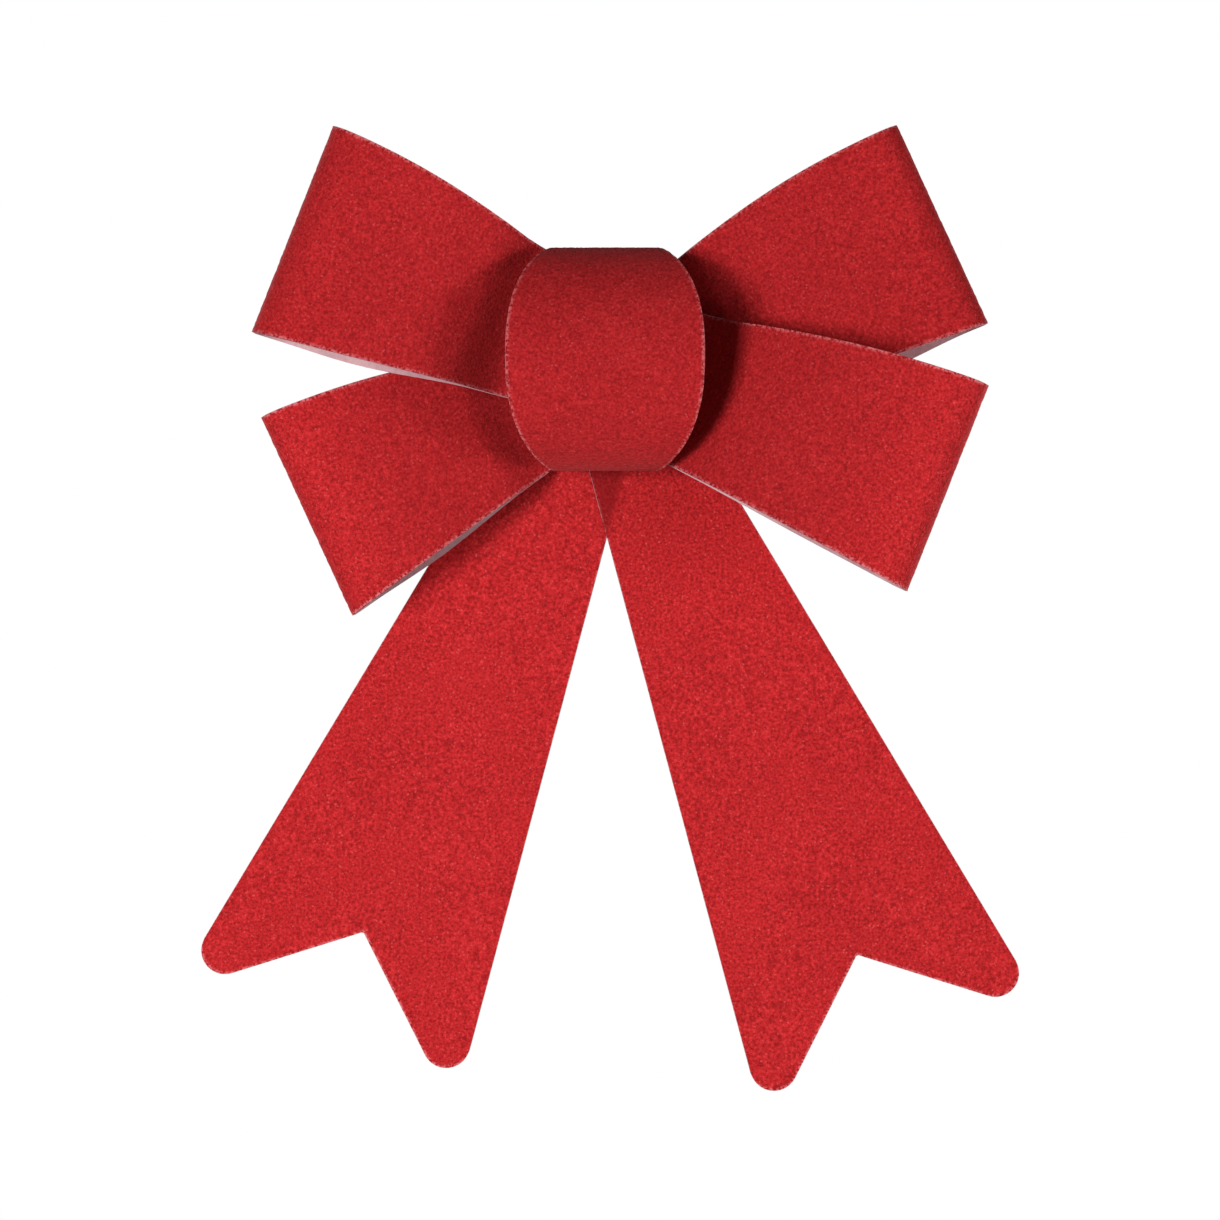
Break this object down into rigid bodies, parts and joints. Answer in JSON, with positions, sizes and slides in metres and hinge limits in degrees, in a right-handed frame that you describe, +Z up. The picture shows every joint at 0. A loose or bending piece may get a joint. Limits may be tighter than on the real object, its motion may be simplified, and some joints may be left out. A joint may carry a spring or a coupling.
{
  "type": "gift bow",
  "caption": "Ready-made flocked gift bow with folded loops, a round knot band and swallow-tailed tails, fixed by its flat back.",
  "frame": {"origin": "centre of the flat back, on the rear face of the tails behind the middle of the knot", "axes": "+X to the bow's right seen from the front, +Y backwards out of the flat back, +Z up, tails down"},
  "size_m": [0.1443, 0.0311, 0.1696],
  "materials": {
    "flock": "red flock on plastic sheet, short velvet pile, bare pinkish plastic on the inner face",
    "staple_steel": "drawn and flattened wire",
    "hot_melt": "cloudy hot-melt glue"
  },
  "bodies": {
    "root": {"front_loop_strip": "flock", "rear_loop_strip": "flock", "knot_band": "flock", "left_tail": "flock", "right_tail": "flock", "centre_staple": "staple_steel", "tail_glue": "hot_melt"}
  },
  "joints": []
}
